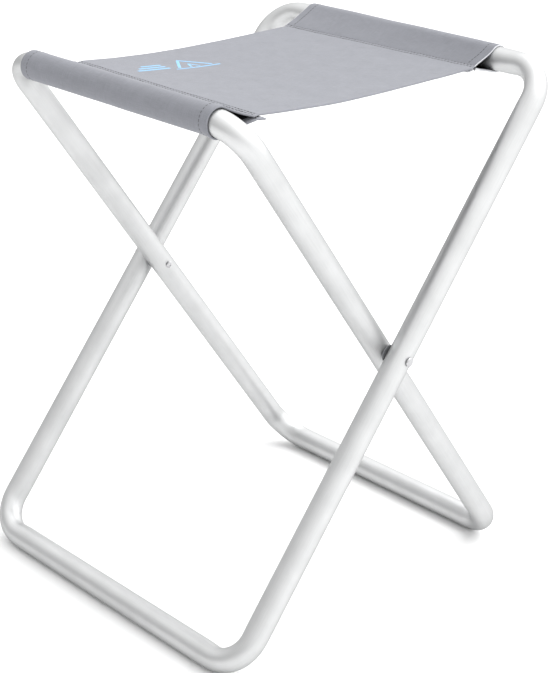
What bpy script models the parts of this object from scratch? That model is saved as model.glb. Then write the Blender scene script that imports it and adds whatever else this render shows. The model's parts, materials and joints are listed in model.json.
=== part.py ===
"""Folding camp stool: two closed tube frames crossed at riveted pivots, with a fabric seat.

Frame of reference: +Z up, origin on the floor under the centre of the stool. The pivot axis and
both top rails run along X. The inner frame's top rail is at the front (-Y), the outer frame's at
the rear (+Y). Fabric pieces hang on the top rails and turn about the rails' axes.
"""
import math

import bmesh
import bpy
from mathutils import Matrix, Vector

# Tube and frames
TUBE_RADIUS = 0.0105
TUBE_WALL = 0.0012
TUBE_SIDES = 24
BEND_RADIUS = 0.030
BEND_STEPS = 8
LEG_LEAN = math.radians(37.5)
UPPER_LEG = 0.272
LOWER_LEG = 0.2815
INNER_SPACING = 0.275
GAP = 0.0003
SPACER_THICKNESS = 0.001
SPACER_RADIUS = 0.008
LEG_OFFSET = 2 * TUBE_RADIUS + SPACER_THICKNESS + 2 * GAP
OUTER_SPACING = INNER_SPACING + 2 * LEG_OFFSET
FLAT_RADIUS = TUBE_RADIUS * math.cos(math.pi / TUBE_SIDES)
PIVOT_HEIGHT = LOWER_LEG * math.cos(LEG_LEAN) + FLAT_RADIUS
RAIL_HEIGHT = PIVOT_HEIGHT + UPPER_LEG * math.cos(LEG_LEAN)
RAIL_REACH = UPPER_LEG * math.sin(LEG_LEAN)

# Pivot rivets
RIVET_RADIUS = 0.0024
RIVET_HOLE_RADIUS = 0.0027
OUTER_HEAD = (0.0040, 0.0020)
INNER_HEAD = (0.0030, 0.0016)
RIVET_SIDES = 24

# Joint inside each top rail, where the bent tube's two ends meet
SPIGOT_RADIUS = 0.0089
SPIGOT_WALL = 0.0012
SPIGOT_LENGTH = 0.060
JOINT_RIVET_X = 0.018
JOINT_RIVET_DROP = math.radians(30)
JOINT_RIVET_RADIUS = 0.0016
JOINT_HOLE_RADIUS = 0.0019
JOINT_HEAD = (0.0032, 0.0010)
JOINT_BULB = (0.0025, 0.0016)
JOINT_RIVET_SIDES = 16

# Fabric seat
FABRIC = 0.0010
SEAT_WIDTH = 0.218
SLEEVE_INNER = 0.0109
SLEEVE_OUTER = SLEEVE_INNER + FABRIC
SLEEVE_ARC_STEPS = 22
SEAM_DISTANCE = 0.046
SEAM_DROP = 0.003
SEAM_TIP = FABRIC / 2
INNER_TIP = 0.0001


def clear_scene():
    for item in list(bpy.data.objects):
        bpy.data.objects.remove(item, do_unlink=True)


def make_material(name, colour, roughness, metallic):
    material = bpy.data.materials.new(name)
    material.use_nodes = True
    shader = material.node_tree.nodes["Principled BSDF"]
    shader.inputs["Base Color"].default_value = (*colour, 1.0)
    shader.inputs["Roughness"].default_value = roughness
    shader.inputs["Metallic"].default_value = metallic
    return material


def make_empty(name, location, lean=0.0):
    """An empty on a joint's axis. Its local Z leans by `lean` about X."""
    empty = bpy.data.objects.new(name, None)
    empty.location = location
    empty.rotation_euler = (lean, 0.0, 0.0)
    bpy.context.collection.objects.link(empty)
    return empty


def make_object(name, bm, material, parent, smooth=True):
    bmesh.ops.recalc_face_normals(bm, faces=bm.faces)
    mesh = bpy.data.meshes.new(name)
    bm.to_mesh(mesh)
    bm.free()
    if smooth:
        mesh.shade_smooth()
        mesh.set_sharp_from_angle(angle=math.radians(32))
    mesh.materials.append(material)
    item = bpy.data.objects.new(name, mesh)
    item.parent = parent
    bpy.context.collection.objects.link(item)
    return item


def bridge(bm, rings, closed):
    """Quads between neighbouring rings of vertices, and from the last to the first if closed."""
    pairs = list(zip(rings, rings[1:]))
    if closed:
        pairs.append((rings[-1], rings[0]))
    for first, second in pairs:
        for i in range(len(first)):
            j = (i + 1) % len(first)
            bm.faces.new((first[i], first[j], second[j], second[i]))


# Tube frames -------------------------------------------------------------------------------

def loop_centreline(spacing):
    """(position, tangent) round a frame in its own plane, from one end of the tube to the other."""
    half = spacing / 2
    corners = (
        (half - BEND_RADIUS, UPPER_LEG - BEND_RADIUS, 90),
        (half - BEND_RADIUS, -LOWER_LEG + BEND_RADIUS, 0),
        (-half + BEND_RADIUS, -LOWER_LEG + BEND_RADIUS, -90),
        (-half + BEND_RADIUS, UPPER_LEG - BEND_RADIUS, -180),
    )
    along = Vector((1, 0, 0))
    stations = [(Vector((GAP / 2, 0, UPPER_LEG)), along)]
    for centre_x, centre_z, start in corners:
        for step in range(BEND_STEPS + 1):
            angle = math.radians(start - 90 * step / BEND_STEPS)
            outward = Vector((math.cos(angle), 0, math.sin(angle)))
            tangent = Vector((math.sin(angle), 0, -math.cos(angle)))
            stations.append((Vector((centre_x, 0, centre_z)) + BEND_RADIUS * outward, tangent))
    stations.append((Vector((-GAP / 2, 0, UPPER_LEG)), along))
    return stations


def tube_ring(bm, centre, tangent, radius):
    """A ring of vertices square to the tangent, with one vertex on the frame plane's normal."""
    normal = Vector((0, 1, 0))
    across = tangent.cross(normal)
    ring = []
    for k in range(TUBE_SIDES):
        angle = 2 * math.pi * k / TUBE_SIDES
        ring.append(bm.verts.new(centre + radius * (math.cos(angle) * normal + math.sin(angle) * across)))
    return ring


def add_pipe(bm, stations, radius, wall):
    """An open-ended pipe: down the outside, round the far end, back up the bore."""
    outside = [tube_ring(bm, centre, tangent, radius) for centre, tangent in stations]
    bore = [tube_ring(bm, centre, tangent, radius - wall) for centre, tangent in stations]
    bridge(bm, outside + bore[::-1], closed=True)


def make_frame_tube(name, spacing, material, pivot):
    bm = bmesh.new()
    add_pipe(bm, loop_centreline(spacing), TUBE_RADIUS, TUBE_WALL)
    return make_object(name, bm, material, pivot)


def make_spigot(name, material, pivot):
    bm = bmesh.new()
    along = Vector((1, 0, 0))
    ends = [(Vector((side * SPIGOT_LENGTH / 2, 0, UPPER_LEG)), along) for side in (-1, 1)]
    add_pipe(bm, ends, SPIGOT_RADIUS, SPIGOT_WALL)
    return make_object(name, bm, material, pivot)


# Turned pieces -----------------------------------------------------------------------------

def turned(profile, sides, closed=False):
    """Revolve (distance along, radius) points about +X. An open profile gets flat end caps."""
    bm = bmesh.new()
    rings = []
    for along, radius in profile:
        ring = []
        for k in range(sides):
            angle = 2 * math.pi * k / sides
            ring.append(bm.verts.new((along, radius * math.cos(angle), radius * math.sin(angle))))
        rings.append(ring)
    bridge(bm, rings, closed)
    if not closed:
        bm.faces.new(rings[0])
        bm.faces.new(rings[-1][::-1])
    return bm


def dome(base, height, radius, direction):
    """Profile points of a domed head, from its rim at `base` to the small flat at its crown."""
    points = []
    for degrees in (0, 25, 50, 75):
        angle = math.radians(degrees)
        points.append((base + direction * height * (0.25 + 0.75 * math.sin(angle)), radius * math.cos(angle)))
    return points


def make_pivot_rivet(name, side, material, pivot):
    """A rivet through both legs, with a large head outside and a small formed head inside."""
    inner_face = INNER_SPACING / 2 - TUBE_RADIUS - GAP
    outer_face = OUTER_SPACING / 2 + TUBE_RADIUS + GAP
    profile = dome(inner_face, INNER_HEAD[1], INNER_HEAD[0], -1)[::-1]
    profile += [(inner_face, INNER_HEAD[0]), (inner_face, RIVET_RADIUS)]
    profile += [(outer_face, RIVET_RADIUS), (outer_face, OUTER_HEAD[0])]
    profile += dome(outer_face, OUTER_HEAD[1], OUTER_HEAD[0], 1)
    bm = turned([(side * along, radius) for along, radius in profile], RIVET_SIDES)
    return make_object(name, bm, material, pivot)


def make_pivot_spacer(name, side, material, pivot):
    """A flat washer between the two legs."""
    start = INNER_SPACING / 2 + TUBE_RADIUS + GAP
    end = start + SPACER_THICKNESS
    profile = [(start, RIVET_HOLE_RADIUS), (start, SPACER_RADIUS), (end, SPACER_RADIUS), (end, RIVET_HOLE_RADIUS)]
    bm = turned([(side * along, radius) for along, radius in profile], RIVET_SIDES, closed=True)
    return make_object(name, bm, material, pivot)


def joint_rivet_matrix(side, inward):
    """Places +X on the line from the top rail's axis through a joint rivet.

    The rivet points at the middle of the stool and 30 degrees below level, so that it stays in the
    open part of the fabric sleeve at every fold angle. `inward` is the frame's lean about X: the
    direction is given in the leaning frame's own axes.
    """
    lean_sign = 1 if inward > 0 else -1
    level = Vector((0, lean_sign * math.cos(JOINT_RIVET_DROP), -math.sin(JOINT_RIVET_DROP)))
    direction = Matrix.Rotation(-inward, 3, "X") @ level
    turn = direction.to_track_quat("X", "Z").to_matrix().to_4x4()
    return Matrix.Translation((side * JOINT_RIVET_X, 0, UPPER_LEG)) @ turn


def make_joint_rivet(name, side, inward, material, pivot):
    """A blind rivet through the rail's wall and the spigot's wall."""
    seat = TUBE_RADIUS + GAP
    bulb_radius, bulb_length = JOINT_BULB
    spigot_bore = (SPIGOT_RADIUS - SPIGOT_WALL) * math.cos(math.pi / TUBE_SIDES)
    bulb_top = math.sqrt((spigot_bore - GAP) ** 2 - bulb_radius ** 2)
    profile = [(bulb_top - bulb_length, JOINT_RIVET_RADIUS), (bulb_top - bulb_length / 2, bulb_radius)]
    profile += [(bulb_top, bulb_radius), (bulb_top, JOINT_RIVET_RADIUS)]
    profile += [(seat, JOINT_RIVET_RADIUS), (seat, JOINT_HEAD[0])]
    profile += dome(seat, JOINT_HEAD[1], JOINT_HEAD[0], 1)
    bm = turned(profile, JOINT_RIVET_SIDES)
    bm.transform(joint_rivet_matrix(side, inward))
    return make_object(name, bm, material, pivot)


# Holes -------------------------------------------------------------------------------------

def make_cutter(name, shapes, pivot):
    """A hidden guide made of cylinders, given as (matrix, start, end, radius, sides) along +X."""
    bm = bmesh.new()
    for matrix, start, end, radius, sides in shapes:
        piece = turned([(start, radius), (end, radius)], sides)
        piece.transform(matrix)
        mesh = bpy.data.meshes.new(name)
        piece.to_mesh(mesh)
        piece.free()
        bm.from_mesh(mesh)
        bpy.data.meshes.remove(mesh)
    cutter = make_object(name, bm, None, pivot, smooth=False)
    cutter.hide_render = True
    cutter.display_type = "WIRE"
    return cutter


def drill(item, cutter):
    hole = item.modifiers.new(cutter.name, "BOOLEAN")
    hole.operation = "DIFFERENCE"
    hole.object = cutter


def pivot_hole_cutter(name, spacing, pivot):
    reach = TUBE_RADIUS + 0.004
    shapes = []
    for side in (-1, 1):
        leg = side * spacing / 2
        shapes.append((Matrix.Identity(4), leg - reach, leg + reach, RIVET_HOLE_RADIUS, RIVET_SIDES))
    return make_cutter(name, shapes, pivot)


def joint_hole_cutter(name, inward, pivot):
    start = SPIGOT_RADIUS - SPIGOT_WALL - 0.003
    end = TUBE_RADIUS + 0.003
    shapes = []
    for side in (-1, 1):
        place = joint_rivet_matrix(side, inward)
        shapes.append((place, start, end, JOINT_HOLE_RADIUS, JOINT_RIVET_SIDES))
    return make_cutter(name, shapes, pivot)


# Fabric ------------------------------------------------------------------------------------

def teardrop(radius, tip_half, side):
    """Outline of a sleeve round its rail's axis, in (y, z), with its blunt tip at the seam.

    `side` is +1 where the stool's middle lies towards +Y of the rail. Outlines of different radius
    share one tip angle, so the cloth between two of them has an even thickness.
    """
    reach = SEAM_DISTANCE * radius / SLEEVE_OUTER
    tip_angle = math.asin(radius / reach)
    contact = math.pi / 2 - tip_angle
    points = []
    for step in range(SLEEVE_ARC_STEPS + 1):
        angle = contact + (2 * math.pi - 2 * contact) * step / SLEEVE_ARC_STEPS
        points.append((radius * math.cos(angle), radius * math.sin(angle)))
    tip = reach - tip_half / math.tan(tip_angle)
    points += [(tip, -tip_half), (tip, tip_half)]
    droop = -math.asin(SEAM_DROP / SEAM_DISTANCE)
    turned_points = []
    for along, up in points:
        y = along * math.cos(droop) - up * math.sin(droop)
        z = along * math.sin(droop) + up * math.cos(droop)
        turned_points.append((side * y, z))
    return turned_points


def make_sleeve(name, side, material, rail):
    """The fabric's end, folded round a top rail and sewn to itself at the seam."""
    bm = bmesh.new()
    rings = []
    for outline, ends in (
        (teardrop(SLEEVE_OUTER, SEAM_TIP, side), (-1, 1)),
        (teardrop(SLEEVE_INNER, INNER_TIP, side), (1, -1)),
    ):
        for end in ends:
            rings.append([bm.verts.new((end * SEAT_WIDTH / 2, y, z)) for y, z in outline])
    bridge(bm, rings, closed=True)
    return make_object(name, bm, material, rail)


def make_seat_panel(name, side, material, rail):
    """Half of the flat seat, from a sleeve's seam to the fold across the middle."""
    start = math.sqrt(SEAM_DISTANCE ** 2 - SEAM_DROP ** 2) + GAP
    end = RAIL_REACH - GAP / 2
    size = (SEAT_WIDTH, end - start, FABRIC)
    centre = (0, side * (start + end) / 2, -SEAM_DROP)
    bm = bmesh.new()
    bmesh.ops.create_cube(bm, size=1.0, matrix=Matrix.Translation(centre) @ Matrix.Diagonal((*size, 1)))
    return make_object(name, bm, material, rail, smooth=False)


def build():
    clear_scene()
    aluminium = make_material("satin_aluminium", (0.80, 0.81, 0.82), 0.34, 1.0)
    spigot_metal = make_material("plain_aluminium", (0.62, 0.63, 0.64), 0.45, 1.0)
    rivet_metal = make_material("rivet_steel", (0.66, 0.66, 0.67), 0.25, 1.0)
    plastic = make_material("spacer_plastic", (0.16, 0.17, 0.18), 0.5, 0.0)
    cloth = make_material("grey_polyester", (0.36, 0.37, 0.40), 0.85, 0.0)

    pivot = (0, 0, PIVOT_HEIGHT)
    frames = (
        ("outer", OUTER_SPACING, -LEG_LEAN, "rear", 1),
        ("inner", INNER_SPACING, LEG_LEAN, "front", -1),
    )
    for name, spacing, lean, place, rail_side in frames:
        hinge = make_empty(name + "_frame_pivot", pivot, lean)
        tube = make_frame_tube(name + "_frame_tube", spacing, aluminium, hinge)
        spigot = make_spigot(name + "_joint_spigot", spigot_metal, hinge)
        drill(tube, pivot_hole_cutter(name + "_pivot_holes", spacing, hinge))
        joint_holes = joint_hole_cutter(name + "_joint_holes", lean, hinge)
        drill(tube, joint_holes)
        drill(spigot, joint_holes)
        for end, side in (("left", -1), ("right", 1)):
            make_joint_rivet(f"{name}_joint_rivet_{end}", side, lean, rivet_metal, hinge)
        rail = make_empty(place + "_rail_axis", (0, rail_side * RAIL_REACH, RAIL_HEIGHT))
        make_sleeve(place + "_sleeve", -rail_side, cloth, rail)
        make_seat_panel(place + "_seat_panel", -rail_side, cloth, rail)

    axis = make_empty("pivot_axis", pivot)
    for end, side in (("left", -1), ("right", 1)):
        make_pivot_rivet("pivot_rivet_" + end, side, rivet_metal, axis)
        make_pivot_spacer("pivot_spacer_" + end, side, plastic, axis)


build()
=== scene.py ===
"""Looks of the folding camp stool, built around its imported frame."""
import json
import math

import bmesh
import bpy
import numpy as np
from mathutils import Matrix, Vector, noise


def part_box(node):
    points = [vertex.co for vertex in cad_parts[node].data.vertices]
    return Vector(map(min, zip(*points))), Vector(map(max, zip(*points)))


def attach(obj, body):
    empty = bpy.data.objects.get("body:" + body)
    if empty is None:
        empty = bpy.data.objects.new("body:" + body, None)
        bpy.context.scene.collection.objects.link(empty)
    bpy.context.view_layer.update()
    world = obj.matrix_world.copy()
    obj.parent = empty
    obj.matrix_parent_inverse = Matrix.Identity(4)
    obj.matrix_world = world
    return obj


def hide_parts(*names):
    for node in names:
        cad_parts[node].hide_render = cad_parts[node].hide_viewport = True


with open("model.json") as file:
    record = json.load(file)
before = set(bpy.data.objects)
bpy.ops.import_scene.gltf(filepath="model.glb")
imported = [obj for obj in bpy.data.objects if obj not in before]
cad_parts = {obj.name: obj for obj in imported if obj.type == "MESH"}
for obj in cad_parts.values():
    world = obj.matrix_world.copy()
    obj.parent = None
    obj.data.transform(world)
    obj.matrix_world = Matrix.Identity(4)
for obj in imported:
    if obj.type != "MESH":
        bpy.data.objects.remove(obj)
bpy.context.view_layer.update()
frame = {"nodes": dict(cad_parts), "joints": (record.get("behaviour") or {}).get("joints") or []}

# The frame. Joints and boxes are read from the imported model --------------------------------
JOINTS = {joint["name"]: joint for joint in frame["joints"]}
PIVOT = Vector(JOINTS["frame_fold"]["pos_m"])
FRONT_RAIL = Vector(JOINTS["front_seat_turn"]["pos_m"])
REAR_RAIL = Vector(JOINTS["rear_seat_turn"]["pos_m"])
RAIL_REACH = REAR_RAIL.y

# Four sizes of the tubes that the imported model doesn't state, repeated from the CAD.
# JOINT_GAP is the gap between a loop's two ends.
TUBE_RADIUS = 0.0105
TUBE_WALL = 0.0012
BEND_RADIUS = 0.030
JOINT_GAP = 0.0003

UPPER_LEG = (REAR_RAIL - PIVOT).length
LEG_LEAN = math.atan2(REAR_RAIL.y, REAR_RAIL.z - PIVOT.z)
LOWER_LEG = (PIVOT.z - TUBE_RADIUS) / math.cos(LEG_LEAN)
OUTER_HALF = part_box("outer_frame_tube")[1].x - TUBE_RADIUS
INNER_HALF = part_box("inner_frame_tube")[1].x - TUBE_RADIUS

# Fine tubes. A bend is flattened and spread by these shares, which fade out over its ends.
# NEAR_BEND is how far from a bend a straight stretch has extra rings, and FAR is a distance at which
# no bend acts.
TUBE_SIDES = 48
BEND_STEPS = 24
BEND_SQUASH = 0.07
BEND_SPREAD = 0.03
BEND_FADE = 0.010
NEAR_BEND = (0.0, 0.003, 0.006, 0.009, 0.012, 0.020)
FAR = 1.0

# Pivot rivets and spacers. The heads, as (radius, height), the shank and the bore repeat the CAD.
# HEAD_RIM is the chamfer and the height of a head's thin rim.
TURNED_SIDES = 48
TURNED_GIRTH = 0.02
HEAD_STEPS = 8
HEAD_RIM = (0.0002, 0.0005)
INNER_HEAD = (0.0030, 0.0016)
OUTER_HEAD = (0.0040, 0.0020)
SHANK_RADIUS = 0.0024
SPACER_BORE = 0.0027
SPACER_EDGE = 0.0003

# Cloth: its thickness, the step between folded layers and the width of the side hems
CLOTH = 0.0007
LAYER_STEP = 0.0010
HEM_WIDTH = 0.0075
CLOTH_SHARP = 50
OUTER_FACE, BACK_FACE, EDGE_AND_HIGHLIGHT_FACE = 0, 1, 2

# Seat: how far its middle hangs below the rails' axes, how much more it sags halfway across, and how
# far its sides bow in
MIDDLE_DROP = 0.0045
CROSS_SAG = 0.0008
EDGE_CURVE = 0.0007

# Sleeve round a rail. It is wider by the share SLEEVE_FLARE over the bend, from FLARE_START before it
# on. The tube's shape stops acting on the cloth between ON_RAIL and RAIL_FADE further towards the seam.
# The slope up from the seam dips a little, and its first row lies closer to the seam for a crease.
SLEEVE_RADIUS = 0.01195
SLEEVE_FLARE = 0.055
FLARE_START = 0.004
FLARE_LENGTH = 0.018
ON_RAIL = 0.004
RAIL_FADE = 0.022
SLOPE_DIP = 0.0006
CREASE_SHIFT = 0.45

# Flap sewn under the seat: its length, how far it hangs below the seam in the middle and at its
# ends, how much of the width an end takes, and how far its corners stand out past the seat
FLAP = 0.009
FLAP_HANG = 0.0009
FLAP_END_HANG = 0.0030
FLAP_END = 0.055
FLAP_END_BLEND = 0.02
FLAP_TIP = 0.001
FLAP_SLOPE = 0.0003
TAB = 0.0016

# Seam: each row of stitches' distance from it, the strip with finer rows, and the groove that a
# row of stitches pulls
SEAM_ROWS = (0.0009, 0.0053)
SEWN_WIDTH = 0.008
SEWN_END = 0.0002
GROOVE = 0.00045
GROOVE_WIDTH = 0.0008

# Unevenness: its height, the puckered strip beside the seam, and the square of the distance over
# which the rest dies away at the fold across the seat's middle
RIPPLE = 0.00030
PUCKER_PLACE = 0.002
PUCKER_WIDTH = 0.009
MIDDLE_CALM = 4e-4

# Rows of a cloth half, from the middle on: the flat seat, then the slope up to the rail, round the
# rail, back under it and along the flap. WIDTH_ROW, on the flat seat, is where its width is measured.
OPEN_ROWS = 36
SEWN_ROWS = 22
PANEL_ROWS = OPEN_ROWS + SEWN_ROWS + 1
SLOPE_ROWS = 12
ROUND_ROWS = 24
UNDER_ROWS = 30
FLAP_ROWS = 4
WIDTH_ROW = 20

# Columns of a cloth half: distances from each side edge, and the steps between the innermost two
EDGE_COLUMNS = (0.0, 0.0006, 0.0018, 0.0035, 0.0055, HEM_WIDTH, 0.0095)
HEM_COLUMN = EDGE_COLUMNS.index(HEM_WIDTH)
INNER_STEPS = 72

# Thread. STITCH_SHAPE gives a stitch's rings: place along it, size, and height in thread radii.
# The loose ends start THREAD_OVERLAP inside the edge of the seat, meet in a knot outside it and hang
# from it as a tail.
THREAD_RADIUS = 0.00034
FINE_THREAD = THREAD_RADIUS * 0.8
THREAD_SIDES = 8
STITCH = 0.0028
STITCH_GAP = 0.0006
STITCH_LIFT = 0.00012
STITCH_SHAPE = ((0.0, 0.35, -1.1), (0.10, 0.85, -0.35), (0.3, 1.0, 0.1),
                (0.7, 1.0, 0.1), (0.90, 0.85, -0.35), (1.0, 0.35, -1.1))
UNSTITCHED_ROWS = 8
THREAD_OVERLAP = 0.001
KNOT_RADIUS = THREAD_RADIUS * 2.0
KNOT_OUT = TAB + 0.0001
KNOT_DROP = 0.0012
KNOT_SPAN = (0.0007, 0.0009)
TAIL_OUT = 0.0006
TAIL_DROP = 0.0022

# Printed motif: where it stands, the width of each kind of line, the bars, the steps along a line, how
# far the ink reaches above and below the cloth's face, and how far above the rail's axis it is cast from
INK_PLACE = (-0.0506, -0.0638)
TENT_LINE = 0.0026
THIN_LINE = 0.0020
BAR_LINE = 0.0028
BAR_LENGTHS = (0.034, 0.028, 0.021)
BAR_PITCH = 0.0062
INK_STEP = 0.002
INK_RISE = 0.00006
CAST_HEIGHT = 0.02

# Camera: azimuth, elevation and roll in degrees, the point that it stands CAMERA_DISTANCE away from,
# the lens in mm and its shift
CAMERA_ANGLES = (47.204, 18.863, 1.44)
CAMERA_TARGET = (-0.0404, -0.0149, 0.2879)
CAMERA_DISTANCE = 1.4891
CAMERA_LENS = 90.752
CAMERA_SHIFT = (0.0802, -0.1493)
CAMERA_REACH = 200

# Studio light: the direction it comes from, the sky's darkest and brightest strength and the range
# of facing that they are spread over, and the sun's strength and angular size in degrees
KEY_DIRECTION = (0.22, 0.55, 0.80)
SKY = (0.30, 1.90)
SKY_RANGE = (-0.8, 1.0)
SUN = 1.75
SUN_SIZE = 60

# Floor: how far it reaches each way, its cells along a side, and how far it lies below the stool
FLOOR_REACH = 30.0
FLOOR_CELLS = 8
FLOOR_GAP = 0.0003

# Each half of the seat. side is the direction along Y from its rail to the seat's middle, and
# frame_half is where the leg of its tube stands along X. Pairs are for the left and right ends: where
# the sleeve and the seat's corner at the seam end along X, and the seam's distance from the rail's
# axis. drop is how far the seam lies below that axis, and slack is how much of its arc round the rail,
# in metres, the cloth gives up below it.
HALVES = {
    "front": {
        "rail": FRONT_RAIL, "side": 1, "tube": "inner_tube", "frame_half": INNER_HALF,
        "sleeve": (-0.1090, 0.1160), "corner": (-0.0890, 0.1240), "seam": (0.0300, 0.0285),
        "drop": -0.0018, "slack": 0.0035,
    },
    "rear": {
        "rail": REAR_RAIL, "side": -1, "tube": "outer_tube", "frame_half": OUTER_HALF,
        "sleeve": (-0.1150, 0.1070), "corner": (-0.1130, 0.1030), "seam": (0.0360, 0.0255),
        "drop": 0.0034, "slack": 0.0010,
    },
}

# The seat's left and right edges along X at the fold across its middle
MIDDLE = (-0.1000, 0.1155)


def smooth(t):
    t = min(max(t, 0.0), 1.0)
    return t * t * (3 - 2 * t)


def lerp(pair, t):
    return pair[0] + (pair[1] - pair[0]) * t


# Materials ---------------------------------------------------------------------------------

WEAVE_PITCH = 0.0011


class Nodes:
    """A small helper that adds and links shader nodes in one material."""

    def __init__(self, name):
        self.material = bpy.data.materials.new(name)
        self.material.use_nodes = True
        self.tree = self.material.node_tree
        self.shader = self.tree.nodes["Principled BSDF"]

    def add(self, kind, **settings):
        node = self.tree.nodes.new(kind)
        for key, value in settings.items():
            setattr(node, key, value)
        return node

    def link(self, output, target):
        self.tree.links.new(output, target)

    def math(self, operation, first, second=None):
        node = self.add("ShaderNodeMath", operation=operation)
        for socket, value in zip(node.inputs, (first, second)):
            if isinstance(value, (int, float)):
                socket.default_value = value
            elif value is not None:
                self.link(value, socket)
        return node.outputs[0]

    def uv(self):
        return self.add("ShaderNodeUVMap", uv_map="metres").outputs[0]

    def place(self):
        return self.add("ShaderNodeTexCoord").outputs["Object"]

    def noise(self, vector, scale, detail=3.0, stretch=(1, 1, 1)):
        mapping = self.add("ShaderNodeMapping")
        mapping.inputs["Scale"].default_value = stretch
        self.link(vector, mapping.inputs["Vector"])
        texture = self.add("ShaderNodeTexNoise")
        texture.inputs["Scale"].default_value = scale
        texture.inputs["Detail"].default_value = detail
        self.link(mapping.outputs[0], texture.inputs["Vector"])
        return texture.outputs["Fac"]

    def ramp(self, value, low, high, start=0.0, end=1.0):
        """Colours or greys between two points of a value."""
        node = self.add("ShaderNodeValToRGB")
        for element, position, colour in zip(node.color_ramp.elements, (start, end), (low, high)):
            element.position = position
            element.color = (*colour, 1) if isinstance(colour, tuple) else (colour, colour, colour, 1)
        self.link(value, node.inputs[0])
        return node.outputs[0]

    def bump(self, height, distance, strength=1.0):
        node = self.add("ShaderNodeBump")
        node.inputs["Distance"].default_value = distance
        node.inputs["Strength"].default_value = strength
        self.link(height, node.inputs["Height"])
        self.link(node.outputs[0], self.shader.inputs["Normal"])

    def set(self, **values):
        for name, value in values.items():
            self.shader.inputs[name.replace("_", " ")].default_value = value


def metal(name, dark, light, roughness, streaks, edge):
    """Satin metal: faint cloudy tone, drawn streaks along the piece and uneven gloss. edge is how
    much it still reflects at a glancing angle, where an anodised skin is duller."""
    n = Nodes(name)
    n.set(Metallic=1.0, Specular_Tint=(edge, edge, edge, 1))
    clouds = n.noise(n.place(), 35, 4)
    streak = n.noise(n.uv(), streaks, 3, (0.02, 1, 1)) if streaks else n.noise(n.place(), 900, 3)
    tone = n.math("ADD", n.math("MULTIPLY", clouds, 0.6), n.math("MULTIPLY", streak, 0.4))
    n.link(n.ramp(tone, dark, light, 0.3, 0.7), n.shader.inputs["Base Color"])
    n.link(n.ramp(tone, roughness[1], roughness[0], 0.3, 0.7), n.shader.inputs["Roughness"])
    n.bump(streak, 0.00002, 0.35)
    return n.material


def plastic(name, colour, roughness):
    n = Nodes(name)
    grain = n.noise(n.place(), 2500, 3)
    lighter = tuple(1.35 * c for c in colour)
    n.link(n.ramp(grain, colour, lighter, 0.3, 0.7), n.shader.inputs["Base Color"])
    n.set(Roughness=roughness)
    n.bump(grain, 0.00004, 0.5)
    return n.material


def weave(n):
    """The height of a plain weave: threads passing over and under at each crossing."""
    split = n.add("ShaderNodeSeparateXYZ")
    n.link(n.uv(), split.inputs[0])
    waves = []
    for axis in (0, 1):
        waves.append(n.math("SINE", n.math("MULTIPLY", split.outputs[axis], 2 * math.pi / WEAVE_PITCH)))
    return n.math("ADD", n.math("MULTIPLY", n.math("MULTIPLY", waves[0], waves[1]), 0.5), 0.5)


def woven(name, dark, light):
    """Heathered polyester: slubs along both thread directions over a plain weave, with painted shade that
    darkens the weave's hollows.
    """
    n = Nodes(name)
    cloth = n.uv()
    height = weave(n)
    warp = n.noise(cloth, 2200, 2, (1, 0.05, 1))
    weft = n.noise(cloth, 2200, 2, (0.05, 1, 1))
    patches = n.noise(cloth, 60, 4)
    slubs = n.math("ADD", n.math("MULTIPLY", warp, 0.33), n.math("MULTIPLY", weft, 0.33))
    tone = n.math("ADD", slubs, n.math("MULTIPLY", patches, 0.16))
    # Painted shade: the weave's height lightens the raised crossings and darkens the hollows between them.
    tone = n.math("ADD", tone, n.math("MULTIPLY", height, 0.18))
    n.link(n.ramp(tone, dark, light, 0.34, 0.66), n.shader.inputs["Base Color"])
    n.set(Roughness=0.86, Sheen_Weight=0.10, Sheen_Roughness=0.45, Specular_IOR_Level=0.25)
    n.bump(n.math("ADD", height, n.math("MULTIPLY", slubs, 0.8)), 0.00012, 0.6)
    return n.material


def coated(name, dark, light):
    """The rubbery coated back of the cloth, with the weave showing through."""
    n = Nodes(name)
    tone = n.noise(n.uv(), 300, 4)
    n.link(n.ramp(tone, dark, light, 0.3, 0.7), n.shader.inputs["Base Color"])
    n.set(Roughness=0.5)
    n.bump(weave(n), 0.00008, 0.5)
    return n.material


def twisted(name, dark, light):
    """Sewing thread."""
    n = Nodes(name)
    twist = n.noise(n.place(), 4200, 1)
    n.link(n.ramp(twist, dark, light, 0.35, 0.65), n.shader.inputs["Base Color"])
    n.set(Roughness=0.6, Sheen_Weight=0.1)
    n.bump(twist, 0.00005, 0.5)
    return n.material


def printed(name, dark, light):
    """Screen-printed ink of a slightly uneven tone."""
    n = Nodes(name)
    tone = n.noise(n.place(), 1400, 3)
    n.link(n.ramp(tone, dark, light, 0.35, 0.65), n.shader.inputs["Base Color"])
    n.set(Roughness=0.55)
    n.bump(tone, 0.00004, 0.4)
    return n.material


def studio_floor(name):
    n = Nodes(name)
    tone = n.noise(n.place(), 1.5, 2)
    n.link(n.ramp(tone, 0.83, 0.85, 0.2, 0.8), n.shader.inputs["Base Color"])
    n.set(Roughness=0.9, Specular_IOR_Level=0.0)
    return n.material


ALUMINIUM = metal("satin_anodised_aluminium", (0.540, 0.545, 0.547), (0.610, 0.615, 0.617),
                  (0.44, 0.54), 1500, 0.36)
SPIGOT_METAL = metal("mill_finish_aluminium", (0.50, 0.51, 0.52), (0.66, 0.67, 0.68), (0.38, 0.50), 0, 1.0)
RIVET_METAL = metal("bright_rivet", (0.38, 0.38, 0.39), (0.54, 0.54, 0.55), (0.20, 0.32), 0, 0.8)
SPACER = plastic("dark_spacer", (0.13, 0.134, 0.14), 0.50)
FABRIC = woven("grey_woven_polyester", (0.172, 0.177, 0.196), (0.241, 0.247, 0.273))
BACKING = coated("black_cloth_backing", (0.012, 0.012, 0.014), (0.03, 0.03, 0.034))
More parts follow.
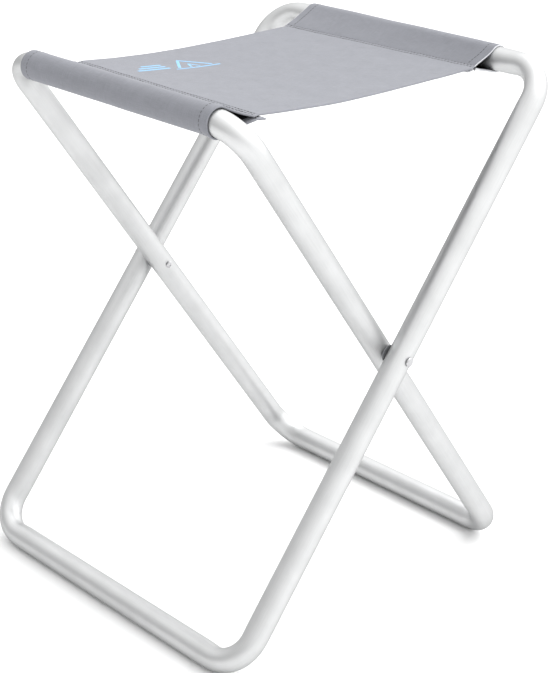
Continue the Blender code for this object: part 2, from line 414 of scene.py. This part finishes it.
# The pale colour of the cloth's cut rims, also used as a painted highlight on the rear sleeve ends' folds
CUT_EDGE_AND_FOLD_HIGHLIGHT = woven("pale_cloth_edge_and_fold_highlight", (0.50, 0.505, 0.53), (0.64, 0.645, 0.67))
THREAD = twisted("dark_thread", (0.022, 0.023, 0.027), (0.060, 0.062, 0.070))
INK = printed("light_blue_ink", (0.15, 0.36, 0.58), (0.22, 0.46, 0.70))


# Mesh helpers ------------------------------------------------------------------------------

def make_piece(name, bm, materials, body, replaced=(), sharp=35):
    """A finished mesh that rides on a body and stands for some CAD nodes."""
    bm.normal_update()
    mesh = bpy.data.meshes.new(name)
    bm.to_mesh(mesh)
    bm.free()
    mesh.shade_smooth()
    mesh.set_sharp_from_angle(angle=math.radians(sharp))
    for material in materials:
        mesh.materials.append(material)
    item = bpy.data.objects.new(name, mesh)
    bpy.context.scene.collection.objects.link(item)
    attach(item, body)
    if replaced:
        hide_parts(*replaced)
    return item


def ring_grid(bm, uv, rings, lengths, girth, closed):
    """Quads between neighbouring rings, with UVs in metres along and around the piece."""
    pairs = [(i, i + 1) for i in range(len(rings) - 1)]
    if closed:
        pairs.append((len(rings) - 1, 0))
    count = len(rings[0])
    for a, b in pairs:
        for k in range(count):
            j = (k + 1) % count
            face = bm.faces.new((rings[a][k], rings[a][j], rings[b][j], rings[b][k]))
            around = (k * girth / count, (k + 1) * girth / count)
            corners = ((lengths[a], around[0]), (lengths[a], around[1]),
                       (lengths[b], around[1]), (lengths[b], around[0]))
            for loop, corner in zip(face.loops, corners):
                loop[uv].uv = corner


def skin(bm, rings):
    """Quads between neighbouring rings and a face over each end."""
    for a, b in zip(rings, rings[1:]):
        for k in range(len(a)):
            j = (k + 1) % len(a)
            bm.faces.new((a[k], a[j], b[j], b[k]))
    bm.faces.new(rings[0][::-1])
    bm.faces.new(rings[-1])


# Tube frames -------------------------------------------------------------------------------

def loop_stations(half):
    """(x, s, tangent x, tangent s, bend) round one frame: s runs up the legs from the pivot, and
    bend is 1 in the middle of a bend and 0 on the straight."""
    side = half - BEND_RADIUS
    top, bottom = UPPER_LEG - BEND_RADIUS, -LOWER_LEG + BEND_RADIUS
    quarter = BEND_RADIUS * math.pi / 2
    stations = []

    def bend_at(distance):
        """distance is measured from the end of the bend, and is negative inside it."""
        return smooth((BEND_FADE - distance) / (2 * BEND_FADE))

    def line(x0, s0, x1, s1, after_bend, before_bend):
        """A straight stretch. Where it meets a bend, the bend makes the shared ring."""
        length = math.hypot(x1 - x0, s1 - s0)
        tx, ts = (x1 - x0) / length, (s1 - s0) / length
        marks = {0.0, length / 3, length / 2, 2 * length / 3, length}
        if after_bend:
            marks |= set(NEAR_BEND)
        if before_bend:
            marks |= {length - mark for mark in NEAR_BEND}
        first = 1 if after_bend else 0
        last = -1 if before_bend else None
        for mark in sorted(marks)[first:last]:
            past = min(mark if after_bend else FAR, length - mark if before_bend else FAR)
            stations.append((x0 + tx * mark, s0 + ts * mark, tx, ts, bend_at(past)))

    def arc(cx, cs, start):
        for step in range(BEND_STEPS + 1):
            angle = math.radians(start - 90 * step / BEND_STEPS)
            inside = min(step, BEND_STEPS - step) * quarter / BEND_STEPS
            stations.append((cx + BEND_RADIUS * math.cos(angle), cs + BEND_RADIUS * math.sin(angle),
                             math.sin(angle), -math.cos(angle), bend_at(-inside)))

    gap = JOINT_GAP / 2
    line(gap, UPPER_LEG, side, UPPER_LEG, False, True)
    arc(side, top, 90)
    line(half, top, half, bottom, True, True)
    arc(side, bottom, 0)
    line(side, -LOWER_LEG, -side, -LOWER_LEG, True, True)
    arc(-side, bottom, -90)
    line(-half, bottom, -half, top, True, True)
    arc(-side, top, -180)
    line(-side, UPPER_LEG, -gap, UPPER_LEG, True, False)
    return stations


def frame_tube(name, half, rail, body, node):
    """One bent tube. Its bends are a little flattened, as a press leaves them."""
    up = (rail - PIVOT).normalized()
    across = Vector((1, 0, 0))
    normal = across.cross(up)
    bm = bmesh.new()
    uv = bm.loops.layers.uv.new("metres")
    outside, bore, lengths = [], [], []
    last = None
    run = 0.0
    for x, s, tx, ts, bend in loop_stations(half):
        centre = PIVOT + across * x + up * s
        run += (centre - last).length if last else 0.0
        last = centre
        lengths.append(run)
        outward = across * -ts + up * tx
        for rings, radius in ((outside, TUBE_RADIUS), (bore, TUBE_RADIUS - TUBE_WALL)):
            ring = []
            for k in range(TUBE_SIDES):
                angle = 2 * math.pi * k / TUBE_SIDES
                flat = radius * (1 - BEND_SQUASH * bend) * math.sin(angle)
                wide = radius * (1 + BEND_SPREAD * bend) * math.cos(angle)
                ring.append(bm.verts.new(centre + outward * flat + normal * wide))
            rings.append(ring)
    girth = 2 * math.pi * TUBE_RADIUS
    ring_grid(bm, uv, outside + bore[::-1], lengths + lengths[::-1], girth, closed=True)
    bmesh.ops.recalc_face_normals(bm, faces=bm.faces)
    make_piece(name, bm, [ALUMINIUM], body, [node], sharp=60)


# Turned pieces -----------------------------------------------------------------------------

def turned(profile, closed=False):
    """Revolve (along, radius) points about X."""
    bm = bmesh.new()
    uv = bm.loops.layers.uv.new("metres")
    rings, lengths = [], []
    for along, radius in profile:
        ring = []
        for k in range(TURNED_SIDES):
            angle = 2 * math.pi * k / TURNED_SIDES
            ring.append(bm.verts.new((along, radius * math.cos(angle), radius * math.sin(angle))))
        rings.append(ring)
        lengths.append(along)
    ring_grid(bm, uv, rings, lengths, TURNED_GIRTH, closed)
    if not closed:
        bm.faces.new(rings[0])
        bm.faces.new(rings[-1][::-1])
    bmesh.ops.recalc_face_normals(bm, faces=bm.faces)
    return bm


def head_profile(face, direction, radius, height, dimple):
    """A domed head with a thin rim, and a shallow dimple where a tool has set it."""
    chamfer, rim = HEAD_RIM
    points = [(face, radius * 0.9), (face + direction * chamfer, radius), (face + direction * rim, radius)]
    for step in range(1, HEAD_STEPS + 1):
        angle = math.radians(10 * step)
        rise = rim + (height - rim) * math.sin(angle)
        points.append((face + direction * rise, radius * (1 - 0.02 * step / HEAD_STEPS) * math.cos(angle)))
    if dimple:
        points[-3:] = [(face + direction * height * 0.96, radius * 0.42),
                       (face + direction * height * 0.70, radius * 0.30),
                       (face + direction * height * 0.62, radius * 0.10)]
    return points


def pivot_rivet(name, side, node):
    low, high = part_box(node)
    inner_radius, inner_height = INNER_HEAD
    outer_radius, outer_height = OUTER_HEAD
    inside = min(abs(low.x), abs(high.x)) + inner_height
    outside = max(abs(low.x), abs(high.x)) - outer_height
    profile = head_profile(inside, -1, inner_radius, inner_height, True)[::-1]
    profile += [(inside, SHANK_RADIUS), (outside, SHANK_RADIUS)]
    profile += head_profile(outside, 1, outer_radius, outer_height, False)
    bm = turned([(side * along, radius) for along, radius in profile])
    bm.transform(Matrix.Translation(PIVOT))
    make_piece(name, bm, [RIVET_METAL], "outer_frame", [node])


def pivot_spacer(name, side, node):
    low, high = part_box(node)
    start, end = sorted((abs(low.x), abs(high.x)))
    radius = (high.z - low.z) / 2
    edge = SPACER_EDGE
    profile = [(start, SPACER_BORE), (start, radius - edge), (start + edge, radius),
               (end - edge, radius), (end, radius - edge), (end, SPACER_BORE)]
    bm = turned([(side * along, r) for along, r in profile], closed=True)
    bm.transform(Matrix.Translation(PIVOT))
    make_piece(name, bm, [SPACER], "outer_frame", [node])


# Cloth -------------------------------------------------------------------------------------

def bezier(p0, p1, p2, p3, count):
    points = []
    for step in range(1, count + 1):
        t = step / count
        a, b, c, d = (1 - t) ** 3, 3 * t * (1 - t) ** 2, 3 * t * t * (1 - t), t ** 3
        points.append(tuple(a * q0 + b * q1 + c * q2 + d * q3 for q0, q1, q2, q3 in zip(p0, p1, p2, p3)))
    return points


def panel_height(distance, seam, drop, across):
    """Height of the seat from its rail's axis: a slight sag that is level at the middle."""
    span = RAIL_REACH - seam
    reach = 1 - ((RAIL_REACH - distance) / span) ** 2
    crown = 4 * across * (1 - across)
    return -drop - max(reach, 0) * (MIDDLE_DROP - drop + CROSS_SAG * crown)


def panel_points(seam, drop, across):
    """The flat seat from the middle to a seam. Its rows lie closer where it is sewn, and each row of
    stitches pulls a groove into it."""
    sewn = seam + SEWN_WIDTH
    distances = [RAIL_REACH - (RAIL_REACH - sewn) * k / OPEN_ROWS for k in range(OPEN_ROWS)]
    distances += [sewn - (SEWN_WIDTH - SEWN_END) * k / SEWN_ROWS for k in range(SEWN_ROWS + 1)]
    points = []
    for distance in distances:
        groove = sum(math.exp(-((distance - seam - row) / GROOVE_WIDTH) ** 2) for row in SEAM_ROWS)
        points.append((distance, panel_height(distance, seam, drop, across) - GROOVE * groove))
    return points


def cloth_profile(half, across):
    """The cloth's path in (distance towards the middle, height) from a rail's axis: along the
    seat, up over the rail, round it with some slack below, and back under the seam. across runs
    from 0 at the left edge to 1 at the right."""
    seam = lerp(half["seam"], across)
    drop = half["drop"]
    points = panel_points(seam, drop, across)
    span = math.hypot(seam, -drop)
    droop = math.atan2(-drop, seam)
    wrap = math.acos(SLEEVE_RADIUS / span)

    upper = droop + wrap
    top = (SLEEVE_RADIUS * math.cos(upper), SLEEVE_RADIUS * math.sin(upper))
    slope = ((seam - top[0]) / SLOPE_ROWS, (-drop - top[1]) / SLOPE_ROWS)
    for step in range(1, SLOPE_ROWS + 1):
        t = step - CREASE_SHIFT if step == 1 else step
        dip = SLOPE_DIP * math.sin(math.pi * t / SLOPE_ROWS)
        points.append((seam - slope[0] * t, -drop - slope[1] * t - dip))

    leave = 2 * math.pi + droop - wrap - half["slack"] / SLEEVE_RADIUS
    for step in range(1, ROUND_ROWS + 1):
        angle = upper + (leave - upper) * step / ROUND_ROWS
        points.append((SLEEVE_RADIUS * math.cos(angle), SLEEVE_RADIUS * math.sin(angle)))

    start = points[-1]
    near_end = smooth((abs(across - 0.5) - 0.5 + FLAP_END) / FLAP_END_BLEND)
    tip = (seam + FLAP_TIP, -drop - FLAP_HANG - (FLAP_END_HANG - FLAP_HANG) * near_end)
    third = math.dist(start, tip) / 3
    pull = (start[0] - third * math.sin(leave), start[1] + third * math.cos(leave))
    points += bezier(start, pull, (tip[0] - third, tip[1] - 0.30 * third), tip, UNDER_ROWS)
    for step in range(1, FLAP_ROWS + 1):
        points.append((tip[0] + step * FLAP / FLAP_ROWS, tip[1] - FLAP_SLOPE * step))
    return points


def edge_at(half, place, row):
    """Where the cloth's edge lies along X at a row of the profile. place is 0 left, 1 right."""
    corner, sleeve, middle = half["corner"][place], half["sleeve"][place], MIDDLE[place]
    towards_middle = 1 - 2 * place
    if row < PANEL_ROWS:
        t = row / (PANEL_ROWS - 1)
        return middle + (corner - middle) * t + towards_middle * EDGE_CURVE * (1 - t * t)
    row -= PANEL_ROWS
    if row < SLOPE_ROWS:
        return corner + (sleeve - corner) * smooth((row + 1) / SLOPE_ROWS)
    row -= SLOPE_ROWS
    if row < ROUND_ROWS:
        return sleeve
    row -= ROUND_ROWS
    t = min((row + 1) / UNDER_ROWS, 1.0)
    return sleeve + (corner - sleeve) * smooth(t) - towards_middle * TAB * smooth(3 * t - 2)


def bend_drop(half, x):
    """How far the rail has dropped, along the legs, where it starts to bend."""
    past = abs(x) - (half["frame_half"] - BEND_RADIUS)
    return BEND_RADIUS - math.sqrt(BEND_RADIUS ** 2 - past ** 2) if past > 0 else 0.0


def bend_share(half, x):
    """0 on the rail's straight stretch, rising to 1 where the tube is bent and wider."""
    return smooth((abs(x) - (half["frame_half"] - BEND_RADIUS) + FLARE_START) / FLARE_LENGTH)


def cloth_grid(half):
    """Points of the cloth's middle surface, as rows along the profile and columns along X."""
    width = half["sleeve"][1] - half["sleeve"][0]
    edges = [distance / width for distance in EDGE_COLUMNS]
    inner = [edges[-1] + (1 - 2 * edges[-1]) * k / INNER_STEPS for k in range(1, INNER_STEPS)]
    columns = edges + inner + [1 - e for e in reversed(edges)]
    profiles = [cloth_profile(half, c) for c in columns]
    count = len(profiles[0])
    grid = np.zeros((count, len(columns), 3))
    for row in range(count):
        left = edge_at(half, 0, row)
        right = edge_at(half, 1, row)
        on_rail = 1 - smooth((profiles[0][row][0] - ON_RAIL) / RAIL_FADE)
        for column, share in enumerate(columns):
            x = left + (right - left) * share
            distance, height = profiles[column][row]
            flare = 1 + SLEEVE_FLARE * bend_share(half, x) * on_rail
            distance, height = distance * flare, height * flare
            drop = bend_drop(half, x) * on_rail
            distance += drop * math.sin(LEG_LEAN)
            height -= drop * math.cos(LEG_LEAN)
            seam = lerp(half["seam"], share)
            pucker = math.exp(-((distance - seam - PUCKER_PLACE) / PUCKER_WIDTH) ** 2)
            calm = math.exp(-(distance - RAIL_REACH) ** 2 / MIDDLE_CALM)
            ripple = noise.noise(Vector((x * 160, row * 0.11, half["side"] * 3.0)))
            broad = noise.noise(Vector((x * 22, distance * 30, half["side"] * 7.0)))
            height += pucker * RIPPLE * ripple + RIPPLE * broad * (1 - calm)
            grid[row, column] = (x, half["rail"].y + half["side"] * distance, half["rail"].z + height)
    return grid


def grid_normals(grid, side):
    along = np.gradient(grid, axis=0)
    across = np.gradient(grid, axis=1)
    normals = np.cross(along, across) * side
    return normals / np.linalg.norm(normals, axis=2, keepdims=True)


def hemmed_columns(grid, normals):
    """The grid's columns, with both side edges folded under as hems."""
    fold = LAYER_STEP / 2
    outward = np.array([1.0, 0, 0])

    def folded(column, side, degrees):
        angle = math.radians(degrees)
        sideways = outward * fold * math.sin(angle)
        return grid[:, column] + side * sideways + normals[:, column] * fold * (math.cos(angle) - 1)

    columns = [grid[:, j] - normals[:, j] * LAYER_STEP for j in range(HEM_COLUMN, 0, -1)]
    columns += [folded(0, -1, degrees) for degrees in (150, 90, 30)]
    columns += [grid[:, j] for j in range(grid.shape[1])]
    columns += [folded(-1, 1, degrees) for degrees in (30, 90, 150)]
    columns += [grid[:, -1 - j] - normals[:, -1 - j] * LAYER_STEP for j in range(1, HEM_COLUMN + 1)]
    return columns


def cloth_half(name, half, body, nodes):
    """One half of the seat with its sleeve, as a sheet with folded side hems."""
    grid = cloth_grid(half)
    normals = grid_normals(grid, half["side"])
    columns = hemmed_columns(grid, normals)
    bm = bmesh.new()
    uv = bm.loops.layers.uv.new("metres")
    verts = [[bm.verts.new(point) for point in column] for column in columns]
    middle = columns[len(columns) // 2]
    run = np.concatenate([[0], np.cumsum(np.linalg.norm(np.diff(middle, axis=0), axis=1))])
    wide = [0.0]
    for a, b in zip(columns, columns[1:]):
        wide.append(wide[-1] + float(np.linalg.norm(b[WIDTH_ROW] - a[WIDTH_ROW])))
    # On the rear half, the folds at the sleeve's ends get the pale edge colour as a painted highlight; the
    # same folds on the front half keep the plain cloth
    left, right = len(EDGE_COLUMNS), len(columns) - len(EDGE_COLUMNS)
    painted_fold_highlight = {left - 1, left, right - 1, right} if half["side"] < 0 else set()
    for i in range(len(columns) - 1):
        for j in range(len(run) - 1):
            corners = ((i, j), (i + 1, j), (i + 1, j + 1), (i, j + 1))
            if half["side"] > 0:
                corners = corners[::-1]
            face = bm.faces.new([verts[a][b] for a, b in corners])
            face.material_index = EDGE_AND_HIGHLIGHT_FACE if i in painted_fold_highlight and j >= PANEL_ROWS - 2 else OUTER_FACE
            for loop, (a, b) in zip(face.loops, corners):
                loop[uv].uv = (wide[a], run[b])
    item = make_piece(name, bm, [FABRIC, BACKING, CUT_EDGE_AND_FOLD_HIGHLIGHT], body, nodes, sharp=CLOTH_SHARP)
    solidify = item.modifiers.new("thickness", "SOLIDIFY")
    solidify.thickness = CLOTH
    solidify.offset = 0
    solidify.material_offset = BACK_FACE
    solidify.material_offset_rim = EDGE_AND_HIGHLIGHT_FACE
    apply_modifiers(item, CLOTH_SHARP)
    return item, grid, normals


def apply_modifiers(item, sharp):
    graph = bpy.context.evaluated_depsgraph_get()
    mesh = bpy.data.meshes.new_from_object(item.evaluated_get(graph))
    item.modifiers.clear()
    item.data = mesh
    mesh.shade_smooth()
    mesh.set_sharp_from_angle(angle=math.radians(sharp))


# Stitching ---------------------------------------------------------------------------------

def capsule(bm, start, end, normal, radius):
    """One stitch: a short thread that dips into the cloth at both ends."""
    along = (end - start).normalized()
    side = along.cross(normal).normalized()
    rings = []
    for t, size, lift in STITCH_SHAPE:
        centre = start.lerp(end, t) + normal * lift * radius
        ring = []
        for k in range(THREAD_SIDES):
            angle = 2 * math.pi * k / THREAD_SIDES
            spoke = side * math.cos(angle) + normal * math.sin(angle)
            ring.append(bm.verts.new(centre + spoke * radius * size))
        rings.append(ring)
    skin(bm, rings)


def stitch_line(bm, points, normals, radius=THREAD_RADIUS, lift=STITCH_LIFT):
    """Stitches of even length along a path on the cloth."""
    lengths = [0.0]
    for a, b in zip(points, points[1:]):
        lengths.append(lengths[-1] + (b - a).length)

    def at(distance):
        for i in range(len(lengths) - 1):
            if distance <= lengths[i + 1]:
                t = (distance - lengths[i]) / (lengths[i + 1] - lengths[i])
                return points[i].lerp(points[i + 1], t), normals[i].lerp(normals[i + 1], t).normalized()
        return points[-1], normals[-1]

    pitch = STITCH + STITCH_GAP
    for step in range(int(lengths[-1] / pitch)):
        start, normal = at(step * pitch + STITCH_GAP / 2)
        end, _ = at(step * pitch + STITCH_GAP / 2 + STITCH)
        capsule(bm, start + normal * lift, end + normal * lift, normal, radius)


def loose_end(bm, point, up, side):
    """The thread's cut ends, which stick out past the edge of the seat with a small knot."""
    outward = Vector((side, 0, 0))
    knot = point + outward * KNOT_OUT - up * KNOT_DROP
    capsule(bm, point - outward * THREAD_OVERLAP, knot, up, THREAD_RADIUS)
    capsule(bm, knot - outward * KNOT_SPAN[0], knot + outward * KNOT_SPAN[1], up, KNOT_RADIUS)
    capsule(bm, knot, knot + outward * TAIL_OUT - up * TAIL_DROP, outward, FINE_THREAD)


def seat_stitching(name, half, body, grid, normals):
    """Two rows along the seam and one round each sleeve end, on the cloth's outer face."""
    bm = bmesh.new()
    surface = CLOTH / 2
    rail = half["rail"].y
    last_column = grid.shape[1] - 1
    for row_offset in SEAM_ROWS:
        points, ups = [], []
        for column in range(1, last_column):
            distance = lerp(half["seam"], column / last_column) + row_offset
            path = np.abs(grid[:PANEL_ROWS, column, 1] - rail)
            row = int(np.searchsorted(-path, -distance))
            row = min(max(row, 1), PANEL_ROWS - 1)
            t = (path[row - 1] - distance) / (path[row - 1] - path[row])
            point = grid[row - 1, column] * (1 - t) + grid[row, column] * t
            points.append(Vector(point) + Vector(normals[row, column]) * surface)
            ups.append(Vector(normals[row, column]))
        stitch_line(bm, points, ups)
        for end, side in ((0, -1), (-1, 1)):
            loose_end(bm, points[end], ups[end], side)
    for column in (HEM_COLUMN, last_column - HEM_COLUMN):
        points, ups = [], []
        for row in range(PANEL_ROWS, grid.shape[0] - UNSTITCHED_ROWS):
            points.append(Vector(grid[row, column]) + Vector(normals[row, column]) * surface)
            ups.append(Vector(normals[row, column]))
        stitch_line(bm, points, ups, radius=FINE_THREAD, lift=0.0)
    bmesh.ops.recalc_face_normals(bm, faces=bm.faces)
    make_piece(name, bm, [THREAD], body, sharp=60)


# Printed motif -----------------------------------------------------------------------------

def ink_strip(bm, cloth, points, width):
    """A line of ink along a path on the cloth, with square ends."""
    path = [Vector((*point, 0)) for point in points]
    spots = []
    for a, b in zip(path, path[1:]):
        steps = max(1, round((b - a).length / INK_STEP))
        spots += [a.lerp(b, k / steps) for k in range(steps)]
    spots.append(path[-1])
    rings = []
    for k, spot in enumerate(spots):
        before, after = spots[max(k - 1, 0)], spots[min(k + 1, len(spots) - 1)]
        sideways = (after - before).normalized().cross(Vector((0, 0, 1))) * width / 2
        ring = []
        for offset in (-sideways, sideways):
            start = Vector((spot.x + offset.x, spot.y + offset.y, FRONT_RAIL.z + CAST_HEIGHT))
            _, hit, _, _ = cloth.ray_cast(start, (0, 0, -1))
            ring += [bm.verts.new(hit + Vector((0, 0, rise))) for rise in (INK_RISE, -INK_RISE)]
        rings.append((ring[0], ring[1], ring[3], ring[2]))
    skin(bm, rings)


def printed_motif(name, cloth):
    """A plain tent outline with its door, over a ground line and beside three bars, printed near the
    front corner of the seat. The tent's peak points to -X."""
    bm = bmesh.new()
    x, y = INK_PLACE
    tent = ((x + 0.012, y - 0.004), (x - 0.012, y + 0.014), (x + 0.012, y + 0.032))
    door = ((x + 0.012, y + 0.009), (x + 0.002, y + 0.0138), (x + 0.012, y + 0.0186))
    ground = ((x + 0.0155, y - 0.010), (x + 0.0155, y + 0.038))
    ink_strip(bm, cloth, tent, TENT_LINE)
    ink_strip(bm, cloth, door, THIN_LINE)
    ink_strip(bm, cloth, ground, THIN_LINE)
    for row, length in enumerate(BAR_LENGTHS):
        across = x + 0.0090 - BAR_PITCH * row
        ink_strip(bm, cloth, ((across, y - 0.012), (across, y - 0.012 - length)), BAR_LINE)
    bmesh.ops.recalc_face_normals(bm, faces=bm.faces)
    make_piece(name, bm, [INK], "front_seat", sharp=60)


# Studio ------------------------------------------------------------------------------------

def make_floor():
    bm = bmesh.new()
    bmesh.ops.create_grid(bm, x_segments=FLOOR_CELLS, y_segments=FLOOR_CELLS, size=FLOOR_REACH)
    bm.transform(Matrix.Translation((0, 0, -FLOOR_GAP)))
    mesh = bpy.data.meshes.new("studio_floor")
    bm.to_mesh(mesh)
    bm.free()
    mesh.materials.append(studio_floor("pale_floor"))
    floor = bpy.data.objects.new("studio_floor", mesh)
    bpy.context.scene.collection.objects.link(floor)


def make_camera():
    """The photograph's viewing angle."""
    azimuth, elevation, roll = (math.radians(angle) for angle in CAMERA_ANGLES)
    back = Vector((math.cos(elevation) * math.sin(azimuth), -math.cos(elevation) * math.cos(azimuth),
                   math.sin(elevation)))
    level = Vector((math.cos(azimuth), math.sin(azimuth), 0))
    right = level * math.cos(roll) + back.cross(level) * math.sin(roll)
    up = back.cross(right)
    data = bpy.data.cameras.new("camera")
    data.lens = CAMERA_LENS
    data.shift_x, data.shift_y = CAMERA_SHIFT
    data.clip_end = CAMERA_REACH
    camera = bpy.data.objects.new("camera", data)
    turn = Matrix((right, up, back)).transposed().to_4x4()
    camera.matrix_world = Matrix.Translation(Vector(CAMERA_TARGET) + back * CAMERA_DISTANCE) @ turn
    bpy.context.scene.collection.objects.link(camera)
    bpy.context.scene.camera = camera


def make_lights():
    """A wide soft light above the stool's rear right: a gradient of the sky with a soft sun in it."""
    key = Vector(KEY_DIRECTION).normalized()
    world = bpy.data.worlds.new("studio")
    world.use_nodes = True
    tree = world.node_tree
    place = tree.nodes.new("ShaderNodeTexCoord")
    facing = tree.nodes.new("ShaderNodeVectorMath")
    facing.operation = "DOT_PRODUCT"
    facing.inputs[1].default_value = key
    glow = tree.nodes.new("ShaderNodeMapRange")
    glow.interpolation_type = "SMOOTHSTEP"
    for socket, value in zip(("From Min", "From Max", "To Min", "To Max"), (*SKY_RANGE, *SKY)):
        glow.inputs[socket].default_value = value
    shade = tree.nodes["Background"]
    tree.links.new(place.outputs["Generated"], facing.inputs[0])
    tree.links.new(facing.outputs["Value"], glow.inputs["Value"])
    tree.links.new(glow.outputs["Result"], shade.inputs["Strength"])
    shade.inputs["Color"].default_value = (1, 1, 1, 1)
    bpy.context.scene.world = world
    data = bpy.data.lights.new("key", "SUN")
    data.energy = SUN
    data.angle = math.radians(SUN_SIZE)
    light = bpy.data.objects.new("key", data)
    light.rotation_euler = key.to_track_quat("Z", "Y").to_euler()
    bpy.context.scene.collection.objects.link(light)
    bpy.context.scene.view_settings.view_transform = "Standard"


make_camera()
make_lights()
make_floor()
frame_tube("outer_tube", OUTER_HALF, REAR_RAIL, "outer_frame", "outer_frame_tube")
frame_tube("inner_tube", INNER_HALF, FRONT_RAIL, "inner_frame", "inner_frame_tube")
for end, side in (("left", -1), ("right", 1)):
    pivot_rivet("rivet_" + end, side, "pivot_rivet_" + end)
    pivot_spacer("spacer_" + end, side, "pivot_spacer_" + end)
for node, item in frame["nodes"].items():
    if "spigot" in node or "joint_rivet" in node:
        item.data.materials.clear()
        item.data.materials.append(SPIGOT_METAL if "spigot" in node else RIVET_METAL)
for place, half in HALVES.items():
    body = place + "_seat"
    nodes = [place + "_sleeve", place + "_seat_panel"]
    cloth, grid, normals = cloth_half(place + "_cloth", half, body, nodes)
    seat_stitching(place + "_stitching", half, body, grid, normals)
    if place == "front":
        printed_motif("printed_motif", cloth)
